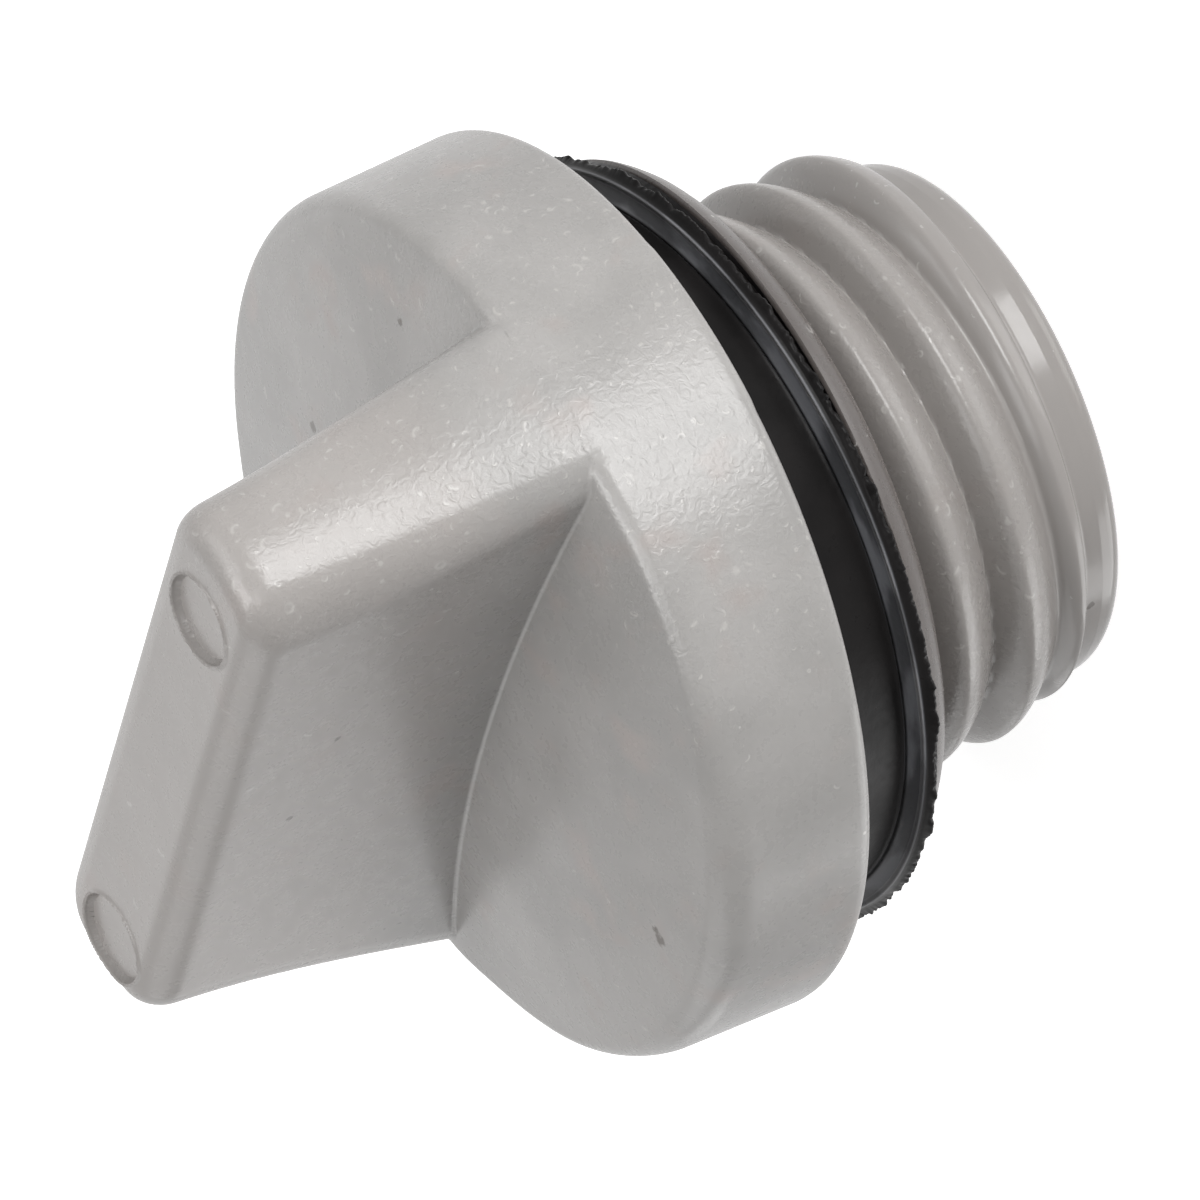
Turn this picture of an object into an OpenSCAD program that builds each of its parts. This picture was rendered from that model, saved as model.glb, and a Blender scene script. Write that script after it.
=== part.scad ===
// Oil filler cap with a finger wing, a coarse screw thread and a rubber seal ring.
// The cap stands on the end of its hollow stem: z is 0 there and grows towards the wing.
// The wing lies along the X axis. All sizes are in millimetres.

/* [Head] */
// Outside diameter of the head at its lower edge
head_d = 30.4; // [28:0.2:36]
// Height of the outer wall of the head, up to the sharp corner before rounding
head_wall_h = 5.9; // [4.5:0.1:8]
// Slope of the outer wall of the head, in degrees
head_draft = 1.4; // [0:0.1:4]
// Rise of the domed top of the head from its wall to its middle
head_dome_h = 1.65; // [0.6:0.05:2.5]
// Rounding of the upper edge of the head
head_shoulder_round = 0.9; // [0.3:0.1:1.6]
// Rounding of the lower edge of the head
head_rim_round = 0.7; // [0.2:0.1:1.2]

/* [Wing] */
// Distance from the edge of the head to each end of the wing, at the height of the outer wall
wing_end_gap = 1.4; // [1.2:0.1:6]
// How far the middle of each end of the wing bulges out past its corners
wing_end_bulge = 0.8; // [0:0.1:1.5]
// Width of the wing at its top
wing_top_w = 5.7; // [4.5:0.1:8]
// Height of the top of the wing over the lower edge of the head
wing_top_h = 18.1; // [14:0.1:22]
// Slope of the two long sides of the wing, in degrees
wing_side_draft = 3.4; // [0.5:0.1:5]
// Slope of the two ends of the wing, in degrees
wing_end_draft = 4.8; // [1:0.1:8]
// Rounding of the upright edges of the wing
wing_edge_round = 1.5; // [1.2:0.1:2]
// Rounding of the edges round the top of the wing
wing_top_round = 1.2; // [0.4:0.1:1.2]
// Radius of the hollow curve from each end of the wing down to the head
wing_end_fillet = 1; // [0.4:0.1:1.2]
// Radius of the hollow curve from each long side of the wing down to the head
wing_side_fillet = 0.35; // [0.1:0.05:1]

/* [Pin marks] */
// Diameter of the two round pin marks in the top of the wing
mark_d = 3.2; // [2:0.1:4]
// Distance from each end of the wing's top to the middle of its pin mark
mark_end_gap = 3.1; // [2.6:0.1:6]
// Distance of the middle of the two pin marks from the middle of the wing
mark_shift = -0.5; // [-1:0.1:1]
// Depth of the pin marks
mark_depth = 0.15; // [0.05:0.05:0.4]

/* [Stem] */
// Length of the stem below the head
stem_l = 13.5; // [12:0.1:20]
// Height of the plain end of the stem, below the thread
stem_plain_h = 1.05; // [1:0.05:3]
// Step from the root of the thread out to the plain end of the stem
stem_end_step = 0.05; // [0.05:0.05:0.5]
// Rounding of the outer edge at the end of the stem
stem_end_round = 0.6; // [0.2:0.1:0.9]
// Diameter of the neck that carries the seal ring
neck_d = 22; // [20.4:0.2:23]
// Width of the collar that holds the seal ring on, out from the neck
collar_w = 1.8; // [1:0.1:2.5]
// Thickness of the collar
collar_h = 0.6; // [0.4:0.05:1.2]
// Width of the edge chamfer of the collar
collar_chamfer = 0.15; // [0.05:0.05:0.3]

/* [Thread] */
// Outside diameter of the thread
thread_d = 20; // [16:0.1:20.4]
// Depth of the thread
thread_depth = 1.05; // [0.8:0.05:1.6]
// Pitch of the thread
thread_pitch = 2.5; // [2:0.25:3]
// Sharpness of the thread ridge: 1 is a plain wave, more gives a narrower ridge
ridge_sharpness = 1.25; // [1:0.05:2]
// Turning angle over which the thread ridge grows to its full depth, in degrees
thread_fade = 260; // [120:10:330]

/* [Hollow] */
// Wall of the stem between the hollow and the root of the thread
stem_wall = 2.45; // [1.6:0.05:4]
// Thickness of the head over the middle of the hollow
hollow_roof = 5.4; // [3.5:0.1:14]
// Slope of the wall of the hollow, in degrees
hollow_draft = 0.5; // [0:0.1:1.5]
// Rounding where the wall of the hollow meets its roof
hollow_round = 1.2; // [0.4:0.1:2]
// Width of the chamfer at the mouth of the hollow
hollow_chamfer = 0.3; // [0.1:0.1:0.6]

/* [Seal ring] */
// Height of the seal ring, from the collar to the underside of the head
seal_h = 3.4; // [2.6:0.05:4]
// Thickness of the smooth upper band of the seal ring
seal_wall = 1.45; // [1:0.05:2]
// How far the ridge on the lip of the seal ring stands out from its band
seal_ridge_w = 0.6; // [0.3:0.05:1]
// How far the thin edge of the seal ring stands out from its ridge
seal_edge_w = 0.3; // [0.1:0.05:0.6]
// Gap between the seal ring and the neck, all round
seal_clearance = 0.05; // [0.02:0.01:0.15]
// Height of the lip of the seal ring, from the collar to the band
seal_lip_h = 0.85; // [0.5:0.05:1.5]

/* [Hidden] */
$fn = 96;
moulded_grey = [0.60, 0.59, 0.57];
rubber_black = [0.06, 0.06, 0.065];
overlap = 0.5;

head_r = head_d / 2;
head_z = stem_l;
wing_z = head_z + wing_top_h;
head_top_z = head_z + head_wall_h + head_dome_h;
collar_top_z = head_z - seal_h;
collar_z = collar_top_z - collar_h;
collar_r = neck_d / 2 + collar_w;

// Length of the wing at its top, found from its ends at the height of the head's outer wall.
wing_fall = wing_top_h - head_wall_h;
wing_top_l = head_d - 2 * (wing_end_gap + wing_fall * tan(wing_end_draft));
wing_corner_l = wing_top_l - 2 * wing_end_bulge;
mark_spacing = wing_top_l - 2 * mark_end_gap;

// The dome is part of a ball that passes through the wall's corner and the middle of the top.
dome_r = (head_r * head_r + head_dome_h * head_dome_h) / (2 * head_dome_h);
dome_slope = asin(head_r / dome_r);

// Corner of wall and dome, and the centre of the circle that rounds it.
wall_top_r = head_r - head_wall_h * tan(head_draft);
shoulder_turn = 90 - dome_slope - head_draft;
shoulder_back = head_shoulder_round * tan(shoulder_turn / 2);
shoulder_r = wall_top_r + shoulder_back * sin(head_draft) - head_shoulder_round * cos(head_draft);
shoulder_z = head_wall_h - shoulder_back * cos(head_draft) - head_shoulder_round * sin(head_draft);

// Outline of the wing: steps in half an end, in each corner and along each long side.
end_steps = 2;
corner_steps = 5;
side_steps = 8;
half_steps = 2 * (end_steps + corner_steps) + side_steps;
wing_side_points = 2 * half_steps;

// Levels of the wing: its foot inside the head, the curve at its ends, and the rounding of its top.
// The curve at the foot ends a little under the surface of the head.
foot_drop = 0.8;
foot_sink = 0.03;
wing_levels = concat(
    [[0, -foot_drop]],
    [for (a = [0 : 15 : 90]) [0, wing_end_fillet * (1 - cos(a))]],
    [for (a = [0 : 15 : 90]) [1, wing_top_round * (sin(a) - 1)]]
);

// Grid that the thread is drawn on: steps in one turn, and rows in one pitch.
thread_steps = 40;
ridge_steps = 8;

// The thread reaches from the plain end of the stem up into the collar. It covers a slightly thinner core.
thread_root_r = thread_d / 2 - thread_depth;
thread_start_z = stem_plain_h + thread_pitch / 2;
thread_top_z = collar_z + overlap;
core_r = thread_root_r - 0.2;

hollow_r = thread_root_r - stem_wall;
hollow_depth = head_top_z - hollow_roof;
thread_turns = ceil((thread_top_z - thread_start_z) / thread_pitch) + 1;
thread_rows = (thread_turns + 1) * ridge_steps;

// Points of an arc round a centre, from one angle to another.
function arc(centre, radius, from, to, steps) = [
    for (i = [0 : steps])
        let (a = from + (to - from) * i / steps)
            [centre[0] + radius * cos(a), centre[1] + radius * sin(a)]
];

// Height of the head's upper surface at a distance from its middle: the dome, then the rounded shoulder.
function top_z(r) =
    r < shoulder_r + head_shoulder_round * sin(dome_slope)
    ? head_top_z - dome_r + sqrt(dome_r * dome_r - r * r)
    : head_z + shoulder_z + sqrt(max(0, pow(head_shoulder_round, 2) - pow(r - shoulder_r, 2)));

// Hollow curve of a radius: how far it stands out at a height over the surface it springs from.
function flare(radius, height) =
    height >= radius ? 0
    : height <= 0 ? radius
    : radius - sqrt(radius * radius - (radius - height) * (radius - height));

// Rounded edge of a radius: how far it draws in at a depth below the top.
function draw_in(radius, depth) =
    depth >= radius ? 0 : radius - sqrt(radius * radius - (radius - depth) * (radius - depth));

// Point of the wing's outline, counted against the clock from the middle of the end at +X.
function outline_point(half_l, half_w, radius, i) =
    let (
        turned = i >= half_steps,
        k = turned ? i - half_steps : i,
        corner = end_steps + corner_steps,
        a = k < end_steps ? 0
            : k <= corner ? 90 * (k - end_steps) / corner_steps
            : k < corner + side_steps ? 90
            : k <= half_steps - end_steps ? 90 + 90 * (k - corner - side_steps) / corner_steps
            : 180,
        share = max(0, min(1, (k - corner) / side_steps)),
        reach = k < end_steps ? k / end_steps : k > half_steps - end_steps ? (half_steps - k) / end_steps : 1,
        y = (half_w - radius) * reach + radius * sin(a),
        bulge = wing_end_bulge * (1 - pow(y / half_w, 2)),
        x = (half_l - radius) * (1 - 2 * share) + radius * cos(a) + (a < 90 ? bulge : a > 90 ? -bulge : 0)
    )
        turned ? [-x, -y] : [x, y];

// Point of the wing at a level. A level counts its height from the head's top (0) or the wing's top (1).
function wing_point(level, i) =
    let (
        foot = outline_point(
            wing_corner_l / 2 + wing_fall * tan(wing_end_draft),
            wing_top_w / 2 + wing_fall * tan(wing_side_draft),
            wing_edge_round, i
        ),
        z = level[1] + (level[0] == 0 ? top_z(norm(foot)) : wing_z),
        depth = wing_z - z,
        rise = level[0] == 0 ? level[1] : wing_fall,
        inset = draw_in(wing_top_round, depth),
        half_l = wing_corner_l / 2 + depth * tan(wing_end_draft) + flare(wing_end_fillet, rise) - inset,
        half_w = wing_top_w / 2 + depth * tan(wing_side_draft) + flare(wing_side_fillet, rise) - inset,
        place = outline_point(half_l, half_w, wing_edge_round - inset, i)
    )
        [place[0], place[1], level[0] == 0 ? top_z(norm(place)) + rise - foot_sink : z];

// Height of the thread form as a share of its depth. The distance from the ridge is a share of the pitch.
function ridge_share(distance) = pow((1 + cos(360 * distance)) / 2, ridge_sharpness);

// Distance of a grid row from the middle of its ridge, as a share of the pitch.
function row_distance(row) = (row % ridge_steps) / ridge_steps - 0.5;

// Share of the full thread depth after a number of turns from its lower end.
function fade(turns) = max(0, min(1, (turns + 0.45) * 360 / thread_fade));

// Height of the thread grid at a row and an angle step.
function grid_z(row, step) =
    thread_start_z + thread_pitch * (floor(row / ridge_steps) - 1
    + row_distance(row) + step / thread_steps);

// Radius of the thread grid at a row and an angle step.
function grid_r(row, step) =
    thread_root_r + thread_depth * ridge_share(row_distance(row))
    * fade(floor(row / ridge_steps) - 1 + step / thread_steps);

function grid_point(row, step) =
    let (a = 360 * step / thread_steps, r = grid_r(row, step))
        [r * cos(a), r * sin(a), grid_z(row, step)];

// Index of a grid point: the last angle step of a row is the first of the row one pitch higher.
function grid_index(row, step) =
    step < thread_steps ? row * thread_steps + step : (row + ridge_steps) * thread_steps;

module head() {
    translate([0, 0, head_z])
        rotate_extrude()
            intersection() {
                polygon(concat(
                    [[0, 0]],
                    arc([head_r - head_rim_round, head_rim_round], head_rim_round, -90, head_draft, 6),
                    arc([shoulder_r, shoulder_z], head_shoulder_round, head_draft, 90 - dome_slope, 6),
                    [[0, head_wall_h + head_r * tan(dome_slope)]]
                ));
                translate([0, head_wall_h + head_dome_h - dome_r])
                    circle(r = dome_r, $fn = 360);
            }
}

// Wing drawn as a stack of rounded outlines: the lowest lies inside the head, the highest is its top.
module wing() {
    count = len(wing_levels);
    points = [for (level = wing_levels, i = [0 : wing_side_points - 1]) wing_point(level, i)];
    sides = [
        for (j = [0 : count - 2], i = [0 : wing_side_points - 1])
            let (
                next = (i + 1) % wing_side_points,
                a = j * wing_side_points + i,
                b = j * wing_side_points + next,
                c = b + wing_side_points,
                d = a + wing_side_points
            )
                each [[a, d, c], [a, c, b]]
    ];
    floor_face = [for (i = [0 : wing_side_points - 1]) i];
    roof_face = [for (i = [wing_side_points - 1 : -1 : 0]) (count - 1) * wing_side_points + i];
    polyhedron(points, concat(sides, [floor_face, roof_face]));
}

module pin_marks() {
    for (side = [-1, 1])
        translate([mark_shift + side * mark_spacing / 2, 0, wing_z - mark_depth])
            cylinder(d = mark_d, h = mark_depth + overlap);
}

// Neck, collar and plain core of the stem, turned about the Z axis.
module stem_core() {
    end_r = thread_root_r + stem_end_step;
    rotate_extrude()
        polygon(concat(
            [[0, 0]],
            arc([end_r - stem_end_round, stem_end_round], stem_end_round, -90, 0, 6),
            [
                [end_r, stem_plain_h],
                [core_r, stem_plain_h],
                [core_r, collar_z],
                [collar_r - collar_chamfer, collar_z],
                [collar_r, collar_z + collar_chamfer],
                [collar_r, collar_top_z - collar_chamfer],
                [collar_r - collar_chamfer, collar_top_z],
                [neck_d / 2, collar_top_z],
                [neck_d / 2, head_z + overlap],
                [0, head_z + overlap]
            ]
        ));
}

// Threaded sleeve of the stem: a grid of points that follows the thread, closed at both ends.
module thread() {
    last = thread_rows;
    points = concat(
        [for (row = [0 : last + ridge_steps], step = [0 : thread_steps - 1]) grid_point(row, step)],
        [[0, 0, grid_z(0, thread_steps / 2)], [0, 0, grid_z(last, thread_steps / 2)]]
    );
    low = (last + ridge_steps + 1) * thread_steps;
    high = low + 1;
    sides = [
        for (row = [0 : last - 1], step = [0 : thread_steps - 1])
            let (
                a = grid_index(row, step),
                b = grid_index(row, step + 1),
                c = grid_index(row + 1, step + 1),
                d = grid_index(row + 1, step)
            )
                each [[a, d, c], [a, c, b]]
    ];
    floor_faces = [
        for (step = [0 : thread_steps - 1]) [low, grid_index(0, step), grid_index(0, step + 1)]
    ];
    floor_step = [for (row = [0 : ridge_steps - 1]) [low, grid_index(row + 1, 0), grid_index(row, 0)]];
    roof_faces = [
        for (step = [0 : thread_steps - 1]) [high, grid_index(last, step + 1), grid_index(last, step)]
    ];
    roof_step = [
        for (row = [last : last + ridge_steps - 1]) [high, grid_index(row, 0), grid_index(row + 1, 0)]
    ];
    polyhedron(points, concat(sides, floor_faces, floor_step, roof_faces, roof_step));
}

// The thread cut level at the plain end of the stem and inside the collar.
module trimmed_thread() {
    low_z = stem_plain_h - overlap;
    intersection() {
        thread();
        translate([0, 0, low_z])
            cylinder(r = collar_r, h = thread_top_z - low_z);
    }
}

module hollow() {
    roof_r = hollow_r - hollow_depth * tan(hollow_draft);
    rotate_extrude()
        polygon(concat(
            [
                [0, -overlap],
                [hollow_r + hollow_chamfer, -overlap],
                [hollow_r + hollow_chamfer, 0],
                [hollow_r, hollow_chamfer]
            ],
            arc([roof_r - hollow_round, hollow_depth - hollow_round], hollow_round, 0, 90, 6),
            [[0, hollow_depth]]
        ));
}

module filler_cap() {
    color(moulded_grey)
        difference() {
            union() {
                head();
                wing();
                stem_core();
                trimmed_thread();
            }
            pin_marks();
            hollow();
        }
}

module seal_ring() {
    inner_r = neck_d / 2 + seal_clearance;
    band_r = inner_r + seal_wall;
    ridge_r = band_r + seal_ridge_w;
    edge_r = ridge_r + seal_edge_w;
    lip_z = collar_top_z + seal_lip_h;
    color(rubber_black)
        rotate_extrude()
            polygon([
                [inner_r, collar_top_z],
                [ridge_r, collar_top_z],
                [edge_r, collar_top_z + seal_lip_h / 2],
                [ridge_r, lip_z - seal_lip_h * 0.3],
                [band_r, lip_z],
                [band_r, head_z],
                [inner_r, head_z]
            ]);
}

filler_cap();
seal_ring();
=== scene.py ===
import math

import bmesh
import bpy
import numpy as np
from mathutils import Matrix, Vector


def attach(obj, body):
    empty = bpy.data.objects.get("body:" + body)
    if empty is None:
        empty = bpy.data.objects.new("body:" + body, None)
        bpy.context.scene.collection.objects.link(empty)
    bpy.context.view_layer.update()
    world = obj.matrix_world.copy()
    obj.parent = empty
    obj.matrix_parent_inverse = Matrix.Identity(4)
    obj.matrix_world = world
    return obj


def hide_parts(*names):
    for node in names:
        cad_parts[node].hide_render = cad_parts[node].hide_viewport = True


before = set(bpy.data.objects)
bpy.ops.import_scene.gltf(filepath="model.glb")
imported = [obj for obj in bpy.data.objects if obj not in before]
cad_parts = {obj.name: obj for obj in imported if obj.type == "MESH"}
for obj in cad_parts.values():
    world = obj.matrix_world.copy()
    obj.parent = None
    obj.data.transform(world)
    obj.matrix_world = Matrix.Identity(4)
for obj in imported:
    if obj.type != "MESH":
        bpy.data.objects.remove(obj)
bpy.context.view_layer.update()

scene = bpy.context.scene
mm = 0.001

# Camera: a long lens, turned on its side so that the stem points to the upper right.
cameraView = {
    "place": (1.0574439, -0.4880354, 0.5167534),
    "right": (0.1617, -0.5155, -0.8415),
    "up": (0.5274, 0.7658, -0.3678),
    "lens": 1172.9,
    "sensor": 36,
    "clipStart": 0.1,
    "clipEnd": 20,
}


def unit(vector):
    return Vector(vector).normalized()


def placeAndTurn(place, *axes):  # the matrix of an object at a place, with its X, Y and Z along the axes
    return Matrix.Translation(place) @ Matrix(axes).transposed().to_4x4()


def buildCamera(view):
    lens = bpy.data.cameras.new("longLens")
    lens.lens = view["lens"]
    lens.sensor_width = view["sensor"]
    lens.clip_start = view["clipStart"]
    lens.clip_end = view["clipEnd"]
    camera = bpy.data.objects.new("camera", lens)
    right = unit(view["right"])
    back = right.cross(unit(view["up"])).normalized()
    camera.matrix_world = placeAndTurn(view["place"], right, back.cross(right), back)
    scene.collection.objects.link(camera)
    scene.camera = camera


buildCamera(cameraView)
print("camera placed")


# Node helpers, for geometry and for materials.
def feed(tree, socket, value):
    if isinstance(value, bpy.types.NodeSocket):
        tree.links.new(value, socket)
    else:
        socket.default_value = value


def addNode(tree, kind, settings=None, **inputs):
    node = tree.nodes.new(kind)
    for name, value in (settings or {}).items():
        setattr(node, name, value)
    for name, value in inputs.items():
        feed(tree, node.inputs[name.replace("_", " ")], value)
    return node


def calc(tree, operation, *values):
    node = addNode(tree, "ShaderNodeMath", {"operation": operation})
    for socket, value in zip(node.inputs, values):
        feed(tree, socket, value)
    return node.outputs[0]


def times(tree, first, second):
    return calc(tree, "MULTIPLY", first, second)


def less(tree, first, second):
    return calc(tree, "LESS_THAN", first, second)


def vectorCalc(tree, operation, *values):
    node = addNode(tree, "ShaderNodeVectorMath", {"operation": operation})
    for socket, value in zip(node.inputs, values):
        feed(tree, socket, value)
    return node.outputs["Value"] if operation in ("LENGTH", "DOT_PRODUCT", "DISTANCE") else node.outputs[0]


def scaled(tree, vector, scale):
    node = addNode(tree, "ShaderNodeVectorMath", {"operation": "SCALE"}, Vector=vector, Scale=scale)
    return node.outputs[0]


def joined(tree, x, y, z):
    return addNode(tree, "ShaderNodeCombineXYZ", X=x, Y=y, Z=z).outputs[0]


def parted(tree, vector):
    return addNode(tree, "ShaderNodeSeparateXYZ", Vector=vector).outputs


def smooth(tree, value, low, high):
    node = addNode(tree, "ShaderNodeMapRange", {"interpolation_type": "SMOOTHSTEP"}, Value=value)
    feed(tree, node.inputs["From Min"], low)
    feed(tree, node.inputs["From Max"], high)
    return node.outputs["Result"]


def mixColor(tree, share, first, second):
    node = addNode(tree, "ShaderNodeMix", {"data_type": "RGBA"}, Factor=share)
    for socket, value in zip([s for s in node.inputs if s.type == "RGBA"], (first, second)):
        feed(tree, socket, value)
    return [s for s in node.outputs if s.type == "RGBA"][0]


def addSockets(tree, inputs, outputs):
    for name, kind, value in inputs:
        socket = tree.interface.new_socket(name, in_out="INPUT", socket_type=kind)
        if value is not None:
            socket.default_value = value
    for name, kind in outputs:
        tree.interface.new_socket(name, in_out="OUTPUT", socket_type=kind)
    return tree.nodes.new("NodeGroupInput").outputs, tree.nodes.new("NodeGroupOutput").inputs


# Moulded head and wing, in millimetres.
headShape = {
    "underside": 13.5,
    "radius": 15.2,
    "wallHeight": 5.9,
    "wallDraft": 1.4,
    "domeHeight": 1.65,
    "shoulderRound": 0.95,
    "shoulderTight": 0.5,  # towards the two ends of the wing
    "tightFrom": (0.45, 0.8),
    "shoulderWide": 2.6,  # where the wing's end covers the shoulder
    "wideAcross": (2.1, 3.2),
    "wideBeyond": 10,
    "rimRound": 0.46,
    "rimLift": 0.06,
    "rimTilt": 0.33,  # the rim is a little out of true
    "rimTiltAngle": -109,
    "rimFrom": (13.3, 14.5),
    "pocketRadius": 10.0,  # the pocket that holds the stem
    "pocketMouth": 14.5,
    "pocketTop": 16.2,
}
wingShape = {
    "top": 31.6,
    "halfWidth": 2.85,
    "cornerPlus": 12.17,
    "cornerMinus": 11.77,
    "bulge": 0.8,
    "sideDraft": 3.4,
    "endDraft": 4.8,
    "edgeRound": 1.5,  # the upright edges are sharper at the foot
    "edgeTaper": 0.03,
    "edgeLeast": 0.45,
    "topRound": 1.2,
    "filletLeast": 0.001,
    "sideFillet": 0.12,
    "filletFrom": (18.6, 19.4),
    "rise": 0.12,
    "riseWidth": 1.6,
    "flareLow": 19.0,
    "flareHigh": 29.5,
    "flarePower": 1.9,
}
markShape = {
    "centres": ((9.14, 0.07), (-10.12, -0.17)),
    "radius": 1.6,
    "depth": 0.23,
    "wall": 0.13,
    "slope": 0.6,
    "lipHeight": 0.09,
    "lipWidth": 0.07,
    "lipOut": 0.05,
    "lipReach": 1.1,
}


def roundEdge(a, b, radius):  # two sides that meet in a rounded edge
    outside = np.hypot(np.maximum(a + radius, 0), np.maximum(b + radius, 0))
    return np.minimum(-radius, np.maximum(a, b)) + outside


def hollowEdge(a, b, radius):  # two forms joined by a hollow curve
    inside = np.hypot(np.maximum(radius - a, 0), np.maximum(radius - b, 0))
    return np.maximum(radius, np.minimum(a, b)) - inside


def ease(value, low, high):
    t = np.clip((value - low) / (high - low), 0, 1)
    return t * t * (3 - 2 * t)


def edgeRadius(depth):
    return np.clip(wingShape["edgeRound"] - wingShape["edgeTaper"] * depth, wingShape["edgeLeast"], None)


def wallRadius(z):
    return headShape["radius"] - (z - headShape["underside"]) * math.tan(math.radians(headShape["wallDraft"]))


def endFlare(y, z, length):  # how far the end of the wing has grown towards the wall of the head
    wall = np.sqrt(np.clip(wallRadius(z) ** 2 - y**2, 1, None))
    share = np.clip((wingShape["flareHigh"] - z) / (wingShape["flareHigh"] - wingShape["flareLow"]), 0, 1)
    return (wall - length) * share ** wingShape["flarePower"]


def shoulderRadius(x, y, out):
    tight = ease(np.abs(x) / np.maximum(out, 1), *headShape["tightFrom"])
    size = headShape["shoulderRound"] + (headShape["shoulderTight"] - headShape["shoulderRound"]) * tight
    wide = (1 - ease(np.abs(y), *headShape["wideAcross"])) * (np.abs(x) > headShape["wideBeyond"])
    return size + (headShape["shoulderWide"] - size) * wide


def wingDistance(x, y, z):  # how far a point is outside the wing's sides, and outside the whole wing
    depth = wingShape["top"] - z
    sideDraft = math.radians(wingShape["sideDraft"])
    endDraft = math.radians(wingShape["endDraft"])
    halfWidth = wingShape["halfWidth"] + depth * math.tan(sideDraft)
    side = (np.abs(y) - halfWidth) * math.cos(sideDraft)
    corner = np.where(x > 0, wingShape["cornerPlus"], wingShape["cornerMinus"]) + depth * math.tan(endDraft)
    length = corner + wingShape["bulge"] * (1 - (y / halfWidth) ** 2)
    length = length + endFlare(y, z, length)
    lean = 2 * wingShape["bulge"] * y / halfWidth**2
    end = (np.abs(x) - length) * math.cos(endDraft) / np.sqrt(1 + lean**2)
    upright = roundEdge(side, end, edgeRadius(depth))
    return side, roundEdge(upright, -depth, wingShape["topRound"])


def cutMarks(shape, x, y, z):  # each pin mark is a shallow pan with a raised lip
    top, depth = wingShape["top"], markShape["depth"]
    for cx, cy in markShape["centres"]:
        away = np.hypot(x - cx, y - cy)
        wall = np.maximum(away - markShape["radius"] + markShape["wall"], 0) * depth / markShape["wall"]
        shape = np.maximum(shape, (z - top + depth - wall) * markShape["slope"])
        lip = np.exp(-(((away - markShape["radius"] - markShape["lipOut"]) / markShape["lipWidth"]) ** 2))
        shape = shape - markShape["lipHeight"] * lip * (z > top - markShape["lipReach"])
    return shape


domeTop = headShape["underside"] + headShape["wallHeight"] + headShape["domeHeight"]
domeRadius = (headShape["radius"] ** 2 + headShape["domeHeight"] ** 2) / (2 * headShape["domeHeight"])


def headDistance(points, withMarks):
    x, y, z = points.T
    out = np.hypot(x, y)
    side, wing = wingDistance(x, y, z)
    # The wing's side meets the dome in a tight curve. Its end sweeps out into the wall.
    dome = np.sqrt(out**2 + (z - domeTop + domeRadius) ** 2) - domeRadius
    dome = dome - wingShape["rise"] * np.exp(-((np.clip(side, 0, None) / wingShape["riseWidth"]) ** 2))
    wall = (out - wallRadius(z)) * math.cos(math.radians(headShape["wallDraft"]))
    body = roundEdge(dome, wall, shoulderRadius(x, y, out))
    fillet = wingShape["sideFillet"] * ease(z, *wingShape["filletFrom"])
    shape = hollowEdge(body, wing, wingShape["filletLeast"] + fillet)
    tilt = math.radians(headShape["rimTiltAngle"])
    tilted = headShape["rimTilt"] * (x * math.cos(tilt) + y * math.sin(tilt)) / headShape["radius"]
    low = headShape["underside"] + (headShape["rimLift"] + tilted) * ease(out, *headShape["rimFrom"])
    shape = roundEdge(shape, low - z, headShape["rimRound"])
    return cutMarks(shape, x, y, z) if withMarks else shape


# The head's mesh: rings of points, laid out near the surface and then moved onto it.
headMesh = {
    "endSteps": 24,
    "cornerSteps": 18,
    "sideSteps": 116,
    "topRows": 24,
    "spineInset": 2.4,
    "edgeRows": 13,
    "edgeDepth": 1.6,
    "flankRows": 14,
    "flareMiddle": 0.35,  # share of the flare at the middle of an end
    "footRows": 16,
    "footDepth": 0.7,
    "footPower": 1.8,
    "footInset": 0.3,
    "footRounds": 12,
    "cornerTurn": 0.26,
    "cornerShare": 0.6,
    "turnSpread": 7,  # stations on either side that the angles are evened out over
    "domeRows": 46,
    "domeClose": (0.9, 0.7),  # longest and share of the stretch with even rows
    "shoulderRows": 14,
    "shoulderShare": 0.84,
    "wallRows": 28,
    "wallEven": 0.35,
    "underRows": 12,
    "underInset": 0.1,
    "underPower": 1.6,
    "joinWithin": 0.002,
}
markMesh = {"cuts": 3, "cutRadius": 2.0, "cutDepth": 1.0, "moveRadius": 2.6, "moveDepth": 1.3, "rounds": 14}
settling = {"rounds": 10, "step": 0.01, "leastSlope": 0.25, "longestMove": 0.4}


def settle(points, withMarks=False, rounds=settling["rounds"]):  # moves points onto the moulded surface
    step, longest = settling["step"], settling["longestMove"]
    for _ in range(rounds):
        value = headDistance(points, withMarks)
        slope = np.empty_like(points)
        for axis in range(3):
            shift = np.zeros(3)
            shift[axis] = step
            ahead, behind = headDistance(points + shift, withMarks), headDistance(points - shift, withMarks)
            slope[:, axis] = (ahead - behind) / (2 * step)
        size = np.maximum((slope**2).sum(1), settling["leastSlope"])
        points = points - slope * np.clip(value / size, -longest, longest)[:, None]
    return points


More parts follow.
